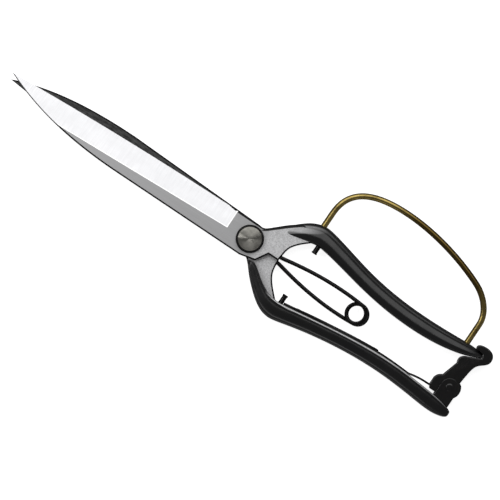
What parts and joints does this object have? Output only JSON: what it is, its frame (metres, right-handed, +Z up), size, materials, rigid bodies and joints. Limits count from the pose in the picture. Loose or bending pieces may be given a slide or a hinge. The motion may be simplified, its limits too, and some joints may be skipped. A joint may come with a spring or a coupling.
{
  "type": "one-hand trimming shears",
  "caption": "Long-bladed one-hand trimming shears with hairpin spring, brass rod hand guard and swinging tail latch",
  "frame": {"origin": "On the pivot axis, in the end face of the pivot bolt, which is level with the nut and the surface that the closed shears rest on", "axes": "+X from the pivot to the handles' ends, the blades' tips at -X; +Y to the side of the hand guard; +Z up along the pivot bolt, the front blade on top"},
  "size_m": [0.4136, 0.124, 0.0171],
  "materials": {
    "forged_steel": "hand-forged and ground carbon steel, bright at the blades and black at the handles",
    "turned_steel": "turned steel, dark, with radial sheen",
    "blackened_steel": "black oxide, satin",
    "aged_brass": "drawn brass rod, aged and darkened"
  },
  "bodies": {
    "lower": {"rear_half": "forged_steel", "pivot_bolt": "turned_steel", "bolt_washer": "blackened_steel", "nut_washer": "blackened_steel", "pivot_nut": "turned_steel", "main_spring": "blackened_steel", "lower_stop_peg": "blackened_steel", "latch_bracket": "blackened_steel", "latch_pin": "turned_steel", "latch_leaf_spring": "blackened_steel", "leaf_rivet_front": "blackened_steel", "leaf_rivet_rear": "blackened_steel", "bracket_rivet_front": "blackened_steel", "bracket_rivet_rear": "blackened_steel"},
    "upper": {"front_half": "forged_steel", "upper_stop_peg": "blackened_steel", "hand_guard": "aged_brass"},
    "latch": {"latch_lever": "blackened_steel"}
  },
  "joints": [
    {"name": "blade_pivot", "type": "hinge", "parent": "lower", "child": "upper", "pos_m": [0, 0, 0.0076], "axis": [0, 0, 1], "range_deg": [0, 28], "deforming": ["main_spring"]},
    {"name": "latch_swing", "type": "hinge", "parent": "lower", "child": "latch", "pos_m": [0.1837, -0.0085, 0.0076], "axis": [0, 0, -1], "range_deg": [0, 90]}
  ]
}
